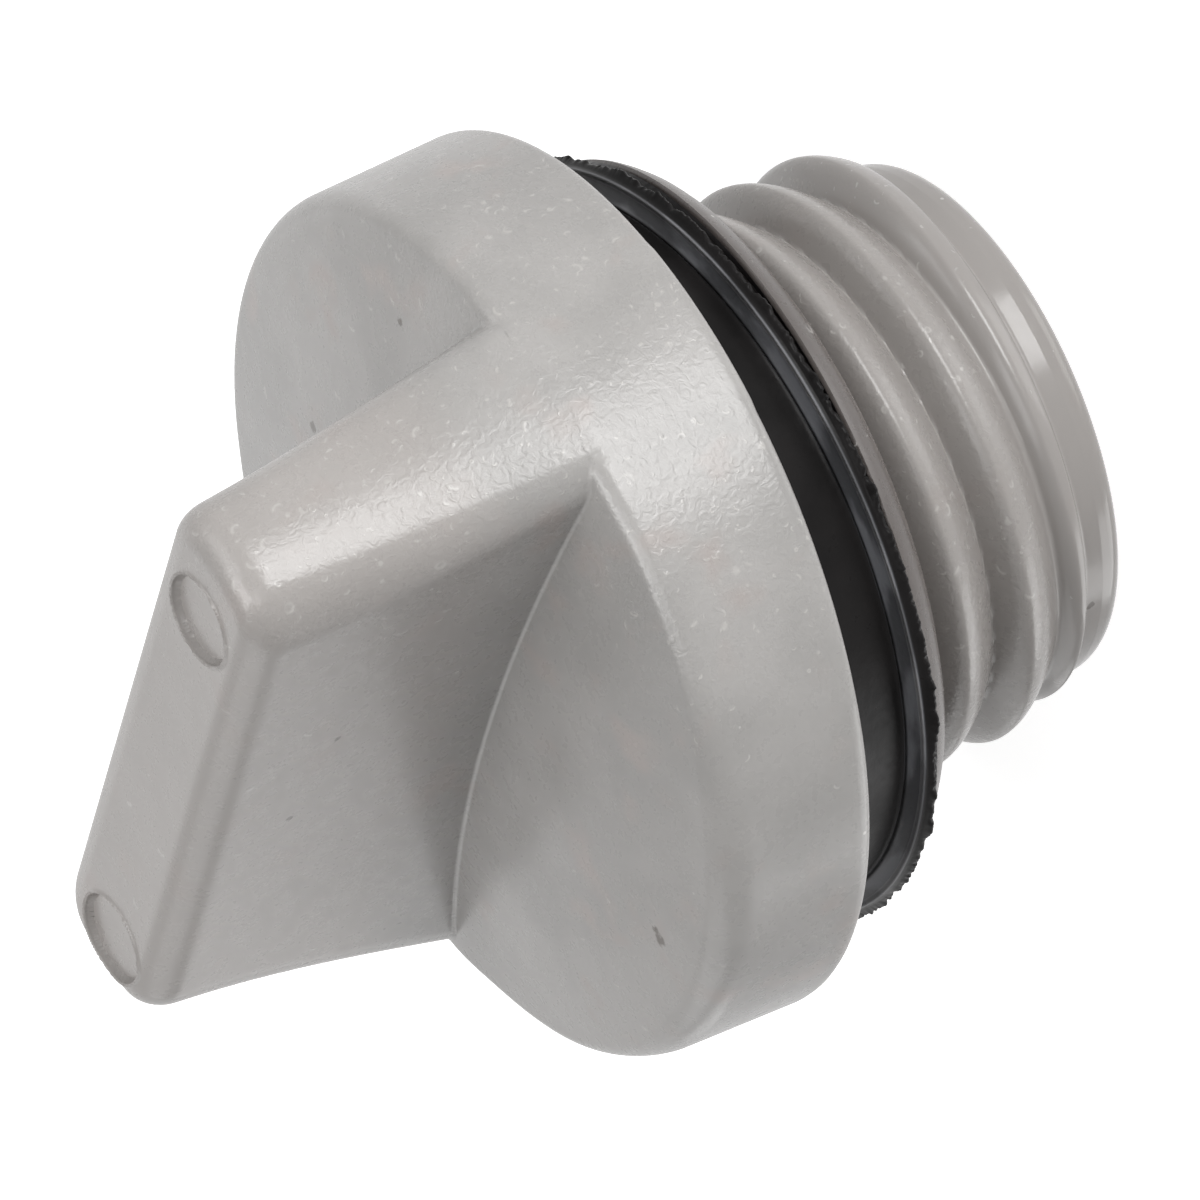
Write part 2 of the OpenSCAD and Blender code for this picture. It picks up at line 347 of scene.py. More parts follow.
def wingOutline(depth):
    # Stations run against the clock from the middle of the end at +X, for each depth under the top.
    ends, corners, sides = headMesh["endSteps"] // 2, headMesh["cornerSteps"], headMesh["sideSteps"]
    angle = np.concatenate([
        np.zeros(ends), np.linspace(0, 90, corners + 1), np.full(sides - 1, 90),
        np.linspace(90, 180, corners + 1), np.full(ends - 1, 180),
    ])
    reach = np.concatenate([
        np.arange(ends) / ends, np.ones(2 * corners + sides + 1), np.arange(ends - 1, 0, -1) / ends,
    ])
    share = np.concatenate([
        np.zeros(ends + corners), np.arange(sides + 1) / sides, np.ones(corners + ends - 1),
    ])
    angle = np.radians(np.concatenate([angle, angle + 180]))
    reach = np.concatenate([reach, reach])
    share = np.concatenate([share, 1 - share])
    radius = edgeRadius(depth)
    halfWidth = wingShape["halfWidth"] + depth * math.tan(math.radians(wingShape["sideDraft"]))
    growth = depth * math.tan(math.radians(wingShape["endDraft"]))
    plus = wingShape["cornerPlus"] + growth
    minus = wingShape["cornerMinus"] + growth
    sign = np.where(np.arange(len(angle)) < len(angle) // 2, 1, -1)
    y = sign * ((halfWidth - radius) * reach + radius * np.abs(np.sin(angle)))
    bulge = wingShape["bulge"] * (1 - (y / halfWidth) ** 2)
    inside = np.clip(np.abs(y), 0, halfWidth - radius)
    swept = headMesh["flareMiddle"] + (1 - headMesh["flareMiddle"]) * reach**2
    plus = plus + swept * endFlare(inside, wingShape["top"] - depth, plus + bulge) - radius
    minus = minus + swept * endFlare(inside, wingShape["top"] - depth, minus + bulge) - radius
    x = plus + (-minus - plus) * share + radius * np.cos(angle) + np.sign(np.round(np.cos(angle), 6)) * bulge
    return x, y


def ringRow(out, turn, z):
    x = out * np.cos(turn)
    return np.stack([x, out * np.sin(turn), np.broadcast_to(z, x.shape)], 1)


def wingRows(count):  # from the spine of the wing's top down to its foot on the dome
    top = wingShape["top"]
    flatDepth = np.zeros(count)
    rows = []

    def outlineRow(depth):
        x, y = wingOutline(depth)
        rows.append(np.stack([x, y, top - depth], 1))

    x0, y0 = wingOutline(flatDepth)
    inset = headMesh["spineInset"]
    spine = np.clip(x0, -wingShape["cornerMinus"] + inset, wingShape["cornerPlus"] - inset)
    for t in np.linspace(0, 1, headMesh["topRows"], endpoint=False):
        rows.append(np.stack([spine + (x0 - spine) * t, y0 * t, np.full(count, top)], 1))
    footDepth = np.full(count, top - domeTop)
    edge = wallRadius(headShape["underside"] + headShape["wallHeight"]) - headMesh["footInset"]
    for _ in range(headMesh["footRounds"]):
        fx, fy = wingOutline(footDepth)
        out = np.minimum(np.hypot(fx, fy), edge)
        footDepth = top - (domeTop - domeRadius + np.sqrt(domeRadius**2 - out**2))
    shrink = out / np.hypot(fx, fy)
    # The rows lie closer together at the top edge and at the foot.
    rounded, low = headMesh["edgeDepth"], headMesh["footDepth"]
    for t in np.linspace(0, 1, headMesh["edgeRows"], endpoint=False):
        outlineRow(flatDepth + rounded * t)
    for t in np.linspace(0, 1, headMesh["flankRows"], endpoint=False):
        outlineRow(rounded + (footDepth - low - rounded) * t)
    for t in np.linspace(0, 1, headMesh["footRows"], endpoint=False):
        outlineRow(footDepth - low * (1 - t) ** headMesh["footPower"])
    return rows, fx * shrink, fy * shrink


def wallTurns(count):  # the angle of each station at the wall
    half = count // 2
    spread = headMesh["turnSpread"]
    place = np.arange(half) / half
    endShare = (headMesh["endSteps"] / 2 + headMesh["cornerSteps"] * headMesh["cornerShare"]) / half
    cornerTurn = headMesh["cornerTurn"]
    turn = np.interp(place, [0, endShare, 1 - endShare, 1], [0, cornerTurn, math.pi - cornerTurn, math.pi])
    turn = np.concatenate([turn[-spread:] - math.pi, turn, turn[:spread] + math.pi])
    turn = np.convolve(turn, np.ones(2 * spread + 1) / (2 * spread + 1), "valid")
    return np.concatenate([turn, turn + math.pi])


def headRows(count, fx, fy):  # from the foot of the wing over the dome and the wall to the pocket
    rows = []
    wallTurn = wallTurns(count)
    footOut, footTurn = np.hypot(fx, fy), np.unwrap(np.arctan2(fy, fx))
    footTurn = footTurn - footTurn[0] + math.atan2(fy[0], fx[0])
    sharp = headShape["radius"] - headShape["wallHeight"] * math.tan(math.radians(headShape["wallDraft"]))
    edgeOut = footOut + (sharp - footOut) * headMesh["shoulderShare"]

    def domeRow(out):
        share = (out - footOut) / (sharp - footOut)
        z = domeTop - domeRadius + np.sqrt(np.maximum(domeRadius**2 - out**2, 0))
        rows.append(ringRow(out, footTurn + (wallTurn - footTurn) * share, z))

    span = edgeOut - footOut
    longest, evenShare = headMesh["domeClose"]
    close = np.minimum(longest, evenShare * span)
    for t in np.linspace(0, 1, headMesh["domeRows"], endpoint=False):
        domeRow(footOut + close * t + (span - close) * t**3)
    for t in np.linspace(0, 1, headMesh["shoulderRows"], endpoint=False):
        domeRow(edgeOut + (sharp - edgeOut) * t)
    even = headMesh["wallEven"]
    for t in np.linspace(0, 1, headMesh["wallRows"], endpoint=False):
        spread = even * t + (1 - even) * (0.5 - 0.5 * math.cos(math.pi * t))
        z = headShape["underside"] + headShape["wallHeight"] - headShape["wallHeight"] * spread
        rows.append(ringRow(sharp + (headShape["radius"] - sharp) * spread, wallTurn, z))
    start = headShape["radius"] - headMesh["underInset"]
    for t in np.linspace(0, 1, headMesh["underRows"]):
        out = start + (headShape["pocketRadius"] - start) * t ** headMesh["underPower"]
        rows.append(ringRow(out, wallTurn, headShape["underside"]))
    radius, mouth, top = headShape["pocketRadius"], headShape["pocketMouth"], headShape["pocketTop"]
    pocket = [ringRow(out, wallTurn, z) for out, z in ((radius, mouth), (radius, top), (radius / 2, top))]
    return rows, pocket


def buildHeadMesh():
    count = 2 * (headMesh["endSteps"] + 2 * headMesh["cornerSteps"] + headMesh["sideSteps"])
    rows, fx, fy = wingRows(count)
    more, pocket = headRows(count, fx, fy)
    rows += more
    points = np.concatenate([settle(np.concatenate(rows)), np.concatenate(pocket)])
    rowCount = len(rows) + len(pocket)
    shape = bmesh.new()
    verts = [shape.verts.new(point) for point in points]
    for row in range(rowCount - 1):
        for j in range(count):
            a, b = row * count + j, row * count + (j + 1) % count
            shape.faces.new((verts[a], verts[a + count], verts[b + count], verts[b]))
    shape.faces.new(verts[-count:])
    bmesh.ops.remove_doubles(shape, verts=shape.verts, dist=headMesh["joinWithin"])
    return shape


def refineMarks(shape):
    top, centres, reach = wingShape["top"], markShape["centres"], markMesh["cutRadius"]
    near = [
        edge for edge in shape.edges
        if all(v.co.z > top - markMesh["cutDepth"] for v in edge.verts)
        and any(math.hypot(v.co.x - cx, v.co.y - cy) < reach for v in edge.verts for cx, cy in centres)
    ]
    bmesh.ops.subdivide_edges(shape, edges=near, cuts=markMesh["cuts"], use_grid_fill=True)
    shape.verts.ensure_lookup_table()
    points = np.array([v.co for v in shape.verts])
    x, y, z = points.T
    close = np.zeros(len(points), bool)
    for cx, cy in centres:
        close |= (np.hypot(x - cx, y - cy) < markMesh["moveRadius"]) & (z > top - markMesh["moveDepth"])
    points[close] = settle(points[close], True, markMesh["rounds"])
    for index in np.nonzero(close)[0]:
        shape.verts[index].co = points[index]


def finishMesh(shape, name, material, sharpAngle=38):
    bmesh.ops.triangulate(shape, faces=[face for face in shape.faces if len(face.verts) > 4])
    if shape.calc_volume(signed=True) < 0:
        bmesh.ops.reverse_faces(shape, faces=shape.faces)
    mesh = bpy.data.meshes.new(name)
    shape.to_mesh(mesh)
    shape.free()
    mesh.shade_smooth()
    mesh.set_sharp_from_angle(angle=math.radians(sharpAngle))
    mesh.materials.append(material)
    piece = bpy.data.objects.new(name, mesh)
    scene.collection.objects.link(piece)
    mesh.calc_loop_triangles()
    print(name, len(mesh.loop_triangles), "triangles")
    return piece


# Materials. The scuff group draws short curved nicks, each in its own place and turned its own way.
scuffLook = {"radius": 0.3, "width": 0.12, "arc": (0.35, 0.75)}  # in shares of a cell
mottleLook = {"patches": (0.35, 0.65), "fineness": 9.0}


def buildScuffGroup(look):
    tree = bpy.data.node_groups.new("scuffs", "ShaderNodeTree")
    source, result = addSockets(
        tree,
        [("Vector", "NodeSocketVector", None), ("Scale", "NodeSocketFloat", None),
         ("Radius", "NodeSocketFloat", look["radius"]), ("Width", "NodeSocketFloat", look["width"]),
         ("Density", "NodeSocketFloat", None)],
        [("Mask", "NodeSocketFloat")],
    )
    place = scaled(tree, source["Vector"], source["Scale"])
    cells = addNode(tree, "ShaderNodeTexVoronoi", {"feature": "F1"}, Vector=place, Scale=1.0, Randomness=1.0)
    local = vectorCalc(tree, "SUBTRACT", place, cells.outputs["Position"])
    aim = vectorCalc(tree, "NORMALIZE", vectorCalc(tree, "SUBTRACT", cells.outputs["Color"], (0.5, 0.5, 0.5)))
    off = calc(tree, "ABSOLUTE", calc(tree, "SUBTRACT", vectorCalc(tree, "LENGTH", local), source["Radius"]))
    line = calc(tree, "SUBTRACT", 1.0, smooth(tree, off, 0.0, source["Width"]))
    facing = vectorCalc(tree, "DOT_PRODUCT", vectorCalc(tree, "NORMALIZE", local), aim)
    chance = addNode(tree, "ShaderNodeSeparateColor", Color=cells.outputs["Color"]).outputs[0]
    drawn = times(tree, line, smooth(tree, facing, *look["arc"]))
    feed(tree, result["Mask"], times(tree, drawn, less(tree, chance, source["Density"])))
    return tree


def buildMottleGroup(look):  # uneven tone, in wide soft patches with finer ones in them
    tree = bpy.data.node_groups.new("mottle", "ShaderNodeTree")
    source, result = addSockets(
        tree,
        [("Vector", "NodeSocketVector", None), ("Scale", "NodeSocketFloat", None)],
        [("Wide", "NodeSocketFloat"), ("Fine", "NodeSocketFloat")],
    )
    place, scale = source["Vector"], source["Scale"]
    wide = addNode(tree, "ShaderNodeTexNoise", Vector=place, Scale=scale, Detail=3.0, Roughness=0.5)
    finer = times(tree, scale, look["fineness"])
    fine = addNode(tree, "ShaderNodeTexNoise", Vector=place, Scale=finer, Detail=3.0, Roughness=0.6)
    feed(tree, result["Wide"], smooth(tree, wide.outputs[0], *look["patches"]))
    feed(tree, result["Fine"], fine.outputs[0])
    return tree


scuffGroup = buildScuffGroup(scuffLook)
mottleGroup = buildMottleGroup(mottleLook)


def newMaterial(name, settings):
    material = bpy.data.materials.new(name)
    material.use_nodes = True
    tree = material.node_tree
    shader = tree.nodes["Principled BSDF"]
    for socket, value in settings.items():
        shader.inputs[socket].default_value = value
    return material, tree, shader


def noise(tree, where, scale, detail, **more):
    return addNode(tree, "ShaderNodeTexNoise", Vector=where, Scale=scale, Detail=detail, **more).outputs[0]


def mottled(tree, where, scale):
    return addNode(tree, "ShaderNodeGroup", {"node_tree": mottleGroup}, Vector=where, Scale=scale).outputs


def scatter(tree, where, scale):  # how far a place is from the middle of its cell, and the cell's chance
    cells = addNode(tree, "ShaderNodeTexVoronoi", {"feature": "F1"}, Vector=where, Scale=scale).outputs
    return cells["Distance"], addNode(tree, "ShaderNodeSeparateColor", Color=cells["Color"]).outputs[0]


def finishShader(tree, shader, color, roughness, relief):
    bump = addNode(tree, "ShaderNodeBump", Strength=1.0, Distance=1.0, Height=relief)
    feed(tree, shader.inputs["Base Color"], color)
    feed(tree, shader.inputs["Roughness"], roughness)
    feed(tree, shader.inputs["Normal"], bump.outputs[0])


plasticLook = {  # lengths in metres, apart from the specks
    "light": (0.352, 0.341, 0.331, 1),
    "dark": (0.304, 0.295, 0.286, 1),
    "mottleScale": 190.0,
    "warm": (0.345, 0.314, 0.299, 1),
    "warmScale": 420.0,
    "warmFrom": (0.56, 0.75),
    "wing": (0.352, 0.326, 0.310, 1),
    "wingShare": 0.6,
    "wingFrom": (0.0215, 0.0245),
    "stem": (0.286, 0.267, 0.254, 1),
    "stemShare": 0.8,
    "stemTop": 0.0134,
    "stemRadius": 0.0131,
    "shadeUnderSeal": (0.058, 0.047, 0.043, 1),  # painted shade on the stem under the seal ring
    "shadeUnderSealShare": 0.85,
    "shadeUnderSealFrom": (0.0072, 0.0088),
    "wornAndGlintFrom": (0.0085, 0.0125),  # towards the +X end of the head, where the key light's highlight falls
    "crestTop": 0.0082,
    "crestFrom": (0.0093, 0.0099),  # from the axis
    "crestShare": 0.8,
    # the nicks' light colour is a painted glint; their relief and gloss are real wear
    "nickAndGlint": (0.47, 0.455, 0.435, 1),
    "nickAndGlintShare": 0.62,
    "nicks": ((1300.0, 0.25), (2100.0, 0.3), (3300.0, 0.3)),  # scale and density
    "nickLeast": 0.1,  # share of the nicks where nothing is worn
    "nickDepth": 0.000004,
    "nickGloss": -0.08,
    "roughLeast": 0.22,
    "roughSpread": 0.12,
    "endFrom": (0.0040, 0.0018),  # the plain end of the stem is glossy
    "endGloss": -0.1,
    # painted glints: small light flecks scattered over the plastic
    "paintedGlint": (0.58, 0.57, 0.55, 1),
    "paintedGlintShare": 0.75,
    "paintedGlintScale": 620.0,
    "paintedGlintFrom": (0.055, 0.03),
    "paintedGlintChance": 0.14,
    "speck": (0.09, 0.075, 0.065, 1),
    "speckShare": 0.8,
    "speckEdge": 0.6,
    "raggedScale": 6000.0,
    "ragged": 1.3,
    "specks": (  # place and size in millimetres
        (0.82, 8.65, 20.52, 0.24), (-0.25, -12.55, 19.93, 0.28), (-0.02, -12.3, 19.98, 0.2),
        (9.76, 6.64, 20.06, 0.18), (-0.82, -3.05, 28.2, 0.16), (3.44, -3.11, 27.22, 0.14),
        (1.84, -8.77, 1.42, 0.18),
    ),
    "peelScale": 1100.0,
    "peelDepth": 0.000007,
    "crinkleScale": 3000.0,
    "crinkleDepth": 0.000022,
}


def nickMask(tree, where, worn, look):
    marks = 0.0
    for scale, density in look["nicks"]:
        least = density * look["nickLeast"]
        nicks = addNode(
            tree, "ShaderNodeGroup", {"node_tree": scuffGroup}, Vector=where, Scale=scale,
            Density=calc(tree, "MULTIPLY_ADD", worn, density - least, least),
        )
        marks = calc(tree, "MAXIMUM", nicks.outputs[0], marks)
    return marks


def speckMask(tree, where, look):
    ragged = calc(tree, "SUBTRACT", noise(tree, where, look["raggedScale"], 1.0), 0.5)
    dirt = 0.0
    for x, y, z, size in look["specks"]:
        away = vectorCalc(tree, "DISTANCE", where, (x * mm, y * mm, z * mm))
        away = calc(tree, "MULTIPLY_ADD", ragged, size * mm * look["ragged"], away)
        dirt = calc(tree, "MAXIMUM", smooth(tree, away, size * mm, size * mm * look["speckEdge"]), dirt)
    return dirt


def buildPlastic(look):
    material, tree, shader = newMaterial("mouldedGrey", {"IOR": 1.5})
    where = tree.nodes.new("ShaderNodeTexCoord").outputs["Object"]
    apart = parted(tree, where)
    height = apart["Z"]
    out = vectorCalc(tree, "LENGTH", vectorCalc(tree, "MULTIPLY", where, (1.0, 1.0, 0.0)))
    onStem = times(tree, less(tree, height, look["stemTop"]), less(tree, out, look["stemRadius"]))
    onHead = calc(tree, "SUBTRACT", 1.0, onStem)
    onCrest = times(tree, less(tree, height, look["crestTop"]), smooth(tree, out, *look["crestFrom"]))
    # More nicks towards the +X end and on the thread's crests, where highlights fall: their light colour
    # there is a painted glint.
    worn = times(tree, smooth(tree, apart["X"], *look["wornAndGlintFrom"]), onHead)
    worn = calc(tree, "MAXIMUM", worn, times(tree, onCrest, look["crestShare"]))

    mottle = mottled(tree, where, look["mottleScale"])
    blush = smooth(tree, noise(tree, where, look["warmScale"], 2.0), *look["warmFrom"])
    marks = nickMask(tree, where, worn, look)
    # Small light flecks in random places: painted glints.
    distance, chance = scatter(tree, where, look["paintedGlintScale"])
    paintedGlints = times(tree, smooth(tree, distance, *look["paintedGlintFrom"]), less(tree, chance, look["paintedGlintChance"]))
    tone = mixColor(tree, mottle["Wide"], look["dark"], look["light"])
    for name, mask, share in (
        ("warm", blush, 1.0),
        ("wing", smooth(tree, height, *look["wingFrom"]), look["wingShare"]),
        ("stem", onStem, look["stemShare"]),
        # painted shade under the seal ring
        ("shadeUnderSeal", times(tree, smooth(tree, height, *look["shadeUnderSealFrom"]), onStem), look["shadeUnderSealShare"]),
        # painted glint on the nicks
        ("nickAndGlint", marks, look["nickAndGlintShare"]),
        # painted glints
        ("paintedGlint", paintedGlints, look["paintedGlintShare"]),
        ("speck", speckMask(tree, where, look), look["speckShare"]),
    ):
        tone = mixColor(tree, times(tree, mask, share), tone, look[name])

    rough = calc(tree, "MULTIPLY_ADD", mottle["Fine"], look["roughSpread"], look["roughLeast"])
    rough = calc(tree, "MULTIPLY_ADD", smooth(tree, height, *look["endFrom"]), look["endGloss"], rough)
    rough = calc(tree, "MULTIPLY_ADD", marks, look["nickGloss"], rough)
    crinkle = noise(tree, where, look["crinkleScale"], 2.0, Distortion=1.0)
    relief = times(tree, noise(tree, where, look["peelScale"], 2.0), look["peelDepth"])
    relief = calc(tree, "MULTIPLY_ADD", marks, look["nickDepth"], relief)
    relief = calc(tree, "MULTIPLY_ADD", times(tree, crinkle, worn), look["crinkleDepth"], relief)
    finishShader(tree, shader, tone, rough, relief)
    return material


rubberLook = {  # lengths in metres
    "color": (0.006, 0.0055, 0.0055, 1),
    "worn": (0.011, 0.010, 0.010, 1),
    "mottleScale": 260.0,
    # The lip's face is painted grey, standing in for the light on it, and lighter towards +Y: painted light.
    "lip": (0.17, 0.175, 0.19, 1),
    "lipLitSide": (0.34, 0.345, 0.36, 1),
    "lipLitSideFrom": (0.002, 0.010),
    "lipPaintedLightShare": 0.9,
    "lipLow": (0.01088, 0.01098),
    "lipHigh": (0.01128, 0.01122),
    # painted highlight along the lip's thin edge
    "ridge": (0.24, 0.24, 0.25, 1),
    "ridgeHighlightShare": 0.95,
    "ridgeLow": (0.01093, 0.01097),
    "ridgeHigh": 0.011005,
    # streaks in the painted sheen on the lip and ridge
    "streakScale": 260.0,
    "streakThin": 7.0,
    "streakFrom": (0.40, 0.58),
    "streakLeast": 0.4,
    "dust": (0.42, 0.41, 0.40, 1),
    "dustScale": 1500.0,
    "dustSize": 0.06,
    "dustChance": 0.012,
    "dustMore": 0.1,  # on the torn edge
    "dustBelow": 0.0109,
    "gloss": 0.09,
    "roughLeast": 0.2,
    "roughSpread": 0.24,
    "grainDepth": 0.000012,
}


def buildRubber(look):
    material, tree, shader = newMaterial("oiledRubber", {"IOR": 1.5, "Specular IOR Level": look["gloss"]})
    where = tree.nodes.new("ShaderNodeTexCoord").outputs["Object"]
    apart = parted(tree, where)
    # The level is the height before the lip's tilt.
    level = addNode(tree, "ShaderNodeAttribute", {"attribute_name": "level"}).outputs["Fac"]
    mottle = mottled(tree, where, look["mottleScale"])
    # Streaks of painted sheen run round the ring, because the height counts for more than the way round.
    thin = joined(tree, apart["X"], apart["Y"], times(tree, level, look["streakThin"]))
    streakedSheen = smooth(tree, noise(tree, thin, look["streakScale"], 4.0), *look["streakFrom"])
    streakedSheen = calc(tree, "MULTIPLY_ADD", streakedSheen, 1 - look["streakLeast"], look["streakLeast"])
    # The lip's face is painted lighter, more so towards +Y: painted light.
    lipPaintedLightMask = times(tree, smooth(tree, level, *look["lipLow"]), smooth(tree, level, *look["lipHigh"]))
    # painted highlight along the lip's thin edge
    ridgeHighlightMask = times(tree, smooth(tree, level, *look["ridgeLow"]), less(tree, level, look["ridgeHigh"]))
    lipWithPaintedLight = mixColor(tree, smooth(tree, apart["Y"], *look["lipLitSideFrom"]), look["lip"], look["lipLitSide"])
    tone = mixColor(tree, mottle["Wide"], look["color"], look["worn"])
    tone = mixColor(tree, times(tree, times(tree, lipPaintedLightMask, look["lipPaintedLightShare"]), streakedSheen), tone, lipWithPaintedLight)
    tone = mixColor(tree, times(tree, times(tree, ridgeHighlightMask, look["ridgeHighlightShare"]), streakedSheen), tone, look["ridge"])
    distance, chance = scatter(tree, where, look["dustScale"])
    torn = less(tree, level, look["dustBelow"])
    often = calc(tree, "MULTIPLY_ADD", torn, look["dustMore"], look["dustChance"])
    dust = times(tree, less(tree, distance, look["dustSize"]), less(tree, chance, often))
    tone = mixColor(tree, dust, tone, look["dust"])
    fine = mottle["Fine"]
    rough = calc(tree, "MULTIPLY_ADD", fine, look["roughSpread"], look["roughLeast"])
    finishShader(tree, shader, tone, rough, times(tree, fine, look["grainDepth"]))
    return material


mouldedGrey = buildPlastic(plasticLook)
oiledRubber = buildRubber(rubberLook)
print("materials made")

headForm = buildHeadMesh()
refineMarks(headForm)
bmesh.ops.scale(headForm, vec=(mm, mm, mm), verts=headForm.verts)
capHead = finishMesh(headForm, "capHead", mouldedGrey)

# Stem: a turned outline whose threaded part stands out along a helix.
stemShape = {
    "plugRadius": 9.9,  # the plug goes up into the pocket of the head
    "plugInner": 5,
    "plugTop": 16.1,
    "neckRadius": 11.0,
    "neckTop": 13.5,
    "neckMiddle": 12,
    "collar": (  # its low side slopes into the thread
        (12.5, 10.1), (12.66, 10.04), (12.74, 9.94), (12.68, 9.8), (12.52, 9.57), (12.28, 9.28), (12.0, 9.05),
        (11.6, 8.84), (11.1, 8.66), (10.5, 8.52), (9.9, 8.42), (9.3, 8.35),
    ),
    "rootRadius": 8.96,
    "endHeight": 0.9,
    "endRound": 0.8,
    "hollowRadius": 6.5,
    "hollowDepth": 15.65,
    "hollowMiddle": 7,
    "hollowDraft": 0.07,  # on the radius, for each half of the depth
    "hollowRound": 1.2,
    "hollowChamfer": 0.3,
    "roofRadius": 2.5,
    "rowStep": 0.05,
    "arcSteps": 10,
}
threadShape = {  # the named inputs of its tree, in metres
    "Steps": 360,
    "Root Radius": 8.96 * mm,
    "Ridge Depth": 1.05 * mm,
    "Pitch": 2.5 * mm,
    "Start Height": 2.3 * mm,
    "Crest Power": 1.6,
    "Skew": 0.24,  # the side towards the stem's end is the longer one
    "First Height": 0.46,  # share of the full depth on the first turn
    "First Shift": 0.5 * mm,
    "First From": -0.62,  # in turns, where the first turn comes out of the stem
    "First To": -0.36,
    "Full From": -0.08,  # and where it grows to the full depth
    "Full To": 0.16,
    "Ridge Join": 0.06,
    "Root Join": 0.0002,
    "Plain Height": 1.9 * mm,
    "Plain Fade": 0.0003,
}
turnsOfThread = range(-1, 4)


def arc(cx, cz, radius, start, stop, steps):
    angles = np.radians(np.linspace(start, stop, steps + 1))
    return [(cx + radius * math.cos(a), cz + radius * math.sin(a)) for a in angles]


def stemOutline(size):
    # Outside from the top down, then up the hollow. The second value is 1 on the rows that the thread moves.
    neck, end, mouth = size["neckRadius"], size["rootRadius"], size["hollowRadius"]
    plug, top, steps = size["plugRadius"], size["plugTop"], size["arcSteps"]
    above = [(0, top), (size["plugInner"], top), (plug, top), (plug, size["neckTop"])]
    above += [(neck, z) for z in (size["neckTop"], size["neckMiddle"], size["collar"][0][1])]
    heights = np.arange(size["collar"][-1][1] - size["rowStep"], size["endHeight"], -size["rowStep"])
    threaded = list(size["collar"]) + [(end, z) for z in heights]
    below = arc(end - size["endRound"], size["endRound"], size["endRound"], 0, -90, steps)
    below += [(mouth + size["hollowChamfer"], 0), (mouth, size["hollowChamfer"])]
    below += [(mouth - size["hollowDraft"], size["hollowMiddle"])]
    roof = mouth - 2 * size["hollowDraft"] - size["hollowRound"]
    below += arc(roof, size["hollowDepth"] - size["hollowRound"], size["hollowRound"], 0, 90, steps)
    below += [(size["roofRadius"], size["hollowDepth"]), (0, size["hollowDepth"])]
    return [(r, flag, z) for part, flag in ((above, 0), (threaded, 1), (below, 0)) for r, z in part]


def startTree(name, values):  # a tree whose named inputs are the values of a dictionary
    tree = bpy.data.node_groups.new(name, "GeometryNodeTree")
    kinds = {int: "NodeSocketInt", float: "NodeSocketFloat", tuple: "NodeSocketVector"}
    inputs = [("Geometry", "NodeSocketGeometry", None), ("Material", "NodeSocketMaterial", None)]
    inputs += [(key, kinds[type(value)], value) for key, value in values.items()]
    source, result = addSockets(tree, inputs, [("Geometry", "NodeSocketGeometry")])
    return tree, source, result["Geometry"]


def addTurning(tree, outlineGeometry, steps):
    # A flat grid is rolled up round Z: one side counts the rows of the outline, the other the angle.
    size = addNode(tree, "GeometryNodeAttributeDomainSize", {"component": "MESH"}, Geometry=outlineGeometry)
    rows = size.outputs["Point Count"]
    grid = addNode(tree, "GeometryNodeMeshGrid", Size_X=1.0, Size_Y=1.0, Vertices_X=steps, Vertices_Y=rows)
    position = tree.nodes.new("GeometryNodeInputPosition").outputs[0]
    where = parted(tree, position)
    angle = times(tree, calc(tree, "ADD", where["X"], 0.5), 2 * math.pi)
    row = times(tree, calc(tree, "ADD", where["Y"], 0.5), calc(tree, "SUBTRACT", rows, 1.0))
    sample = addNode(
        tree, "GeometryNodeSampleIndex", {"data_type": "FLOAT_VECTOR", "domain": "POINT"},
        Geometry=outlineGeometry, Value=position, Index=calc(tree, "ROUND", row),
    )
    point = parted(tree, sample.outputs["Value"])
    return grid.outputs["Mesh"], angle, point["X"], point["Y"], point["Z"]


def closeTurning(tree, mesh, angle, radius, height, source, result):
    x = times(tree, radius, calc(tree, "COSINE", angle))
    y = times(tree, radius, calc(tree, "SINE", angle))
    moved = addNode(tree, "GeometryNodeSetPosition", Geometry=mesh, Position=joined(tree, x, y, height))
    merged = addNode(tree, "GeometryNodeMergeByDistance", Geometry=moved.outputs[0], Distance=0.000001)
    real = addNode(tree, "GeometryNodeRealizeInstances", Geometry=merged.outputs[0])
    dressed = addNode(tree, "GeometryNodeSetMaterial", Geometry=real.outputs[0], Material=source["Material"])
    feed(tree, result, dressed.outputs[0])


